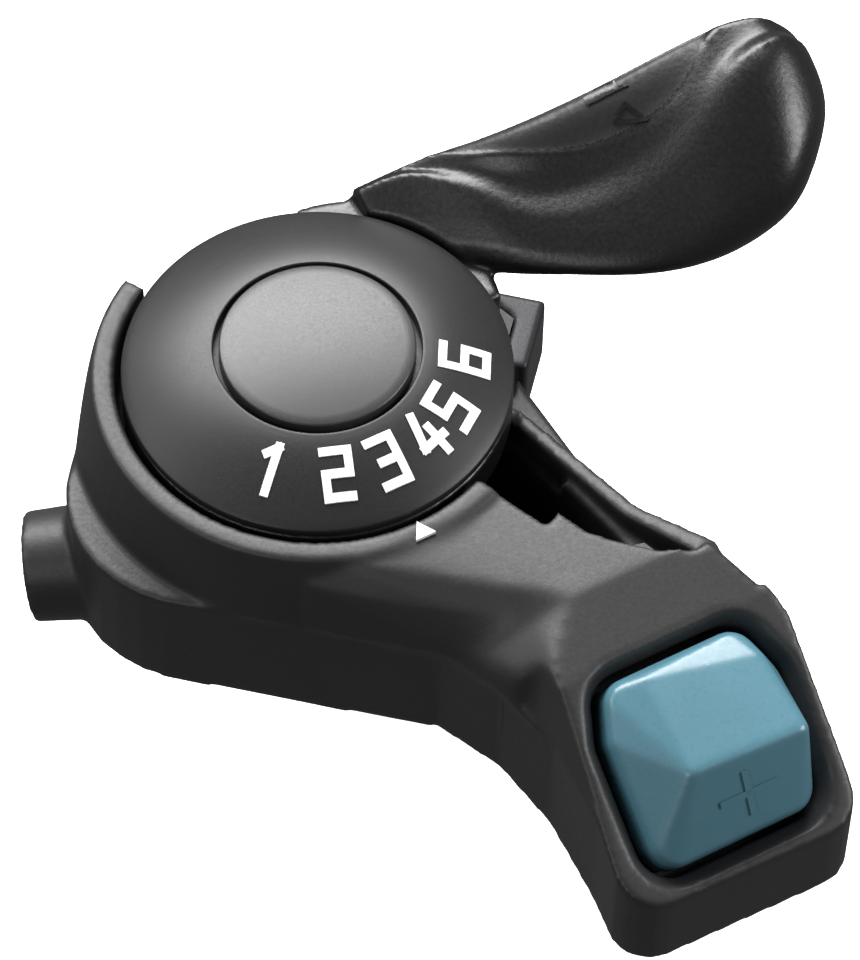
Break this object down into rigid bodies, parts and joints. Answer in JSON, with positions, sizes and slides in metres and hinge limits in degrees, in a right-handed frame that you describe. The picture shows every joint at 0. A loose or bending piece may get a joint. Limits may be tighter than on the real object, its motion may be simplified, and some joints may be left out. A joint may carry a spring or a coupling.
{
  "type": "thumb shifter",
  "caption": "Thumb shifter for a bicycle handlebar: numbered dial, swinging lever with a sculpted blade, clamp band, cable outlet and a blue thumb pad on a curved wing.",
  "frame": {"origin": "centre of the handlebar clamp bore, half way along the clamp band", "axes": "+X along the handlebar towards the wing side, +Z out through the face of the dial, +Y away from the rider's thumb"},
  "size_m": [0.0769, 0.0774, 0.0596],
  "materials": {
    "housing_plastic": "satin, fine grain",
    "lever_plastic": "semi-gloss with a fine pebble grain",
    "dial_plastic": "satin",
    "cap_plastic": "satin",
    "pad_plastic": "semi-gloss",
    "print_white": "printed",
    "band_alloy": "dark anodised",
    "steel_zinc": "zinc plated",
    "drum_nylon": "natural nylon",
    "bush_brass": "turned",
    "rubber": "matt",
    "plug_plastic": "satin"
  },
  "bodies": {
    "housing": {"housing": "housing_plastic", "clamp_band": "band_alloy", "clamp_bolt": "steel_zinc", "clamp_nut": "steel_zinc", "base_plate": "steel_zinc", "base_screws": "steel_zinc", "pivot_stud": "steel_zinc", "limit_pin": "steel_zinc", "index_plate": "steel_zinc", "thrust_washer": "steel_zinc", "wave_washer": "steel_zinc", "stud_nut": "steel_zinc", "pointer_mark": "print_white", "pad_cushion": "rubber", "cable_ferrule": "steel_zinc", "cable_liner": "drum_nylon", "port_plug": "plug_plastic"},
    "lever": {"lever": "lever_plastic", "cable_drum": "drum_nylon", "lever_bush": "bush_brass", "dial": "dial_plastic", "dial_screws": "steel_zinc", "dial_numbers": "print_white", "cap": "cap_plastic", "click_balls": "steel_zinc", "click_springs": "steel_zinc"},
    "thumb_pad": {"thumb_pad": "pad_plastic", "pad_screw": "steel_zinc"}
  },
  "joints": [
    {"name": "lever_turn", "type": "hinge", "parent": "housing", "child": "lever", "pos_m": [-0.008, -0.006, 0.0187], "axis": [0, 0, 1], "range_deg": [-59.1, 47]},
    {"name": "thumb_pad_press", "type": "slide", "parent": "housing", "child": "thumb_pad", "axis": [-0.309, 0.3431, -0.887], "range_m": [0, 0.001], "stiffness_N_per_m": 4000, "deforming": ["pad_cushion"]}
  ]
}
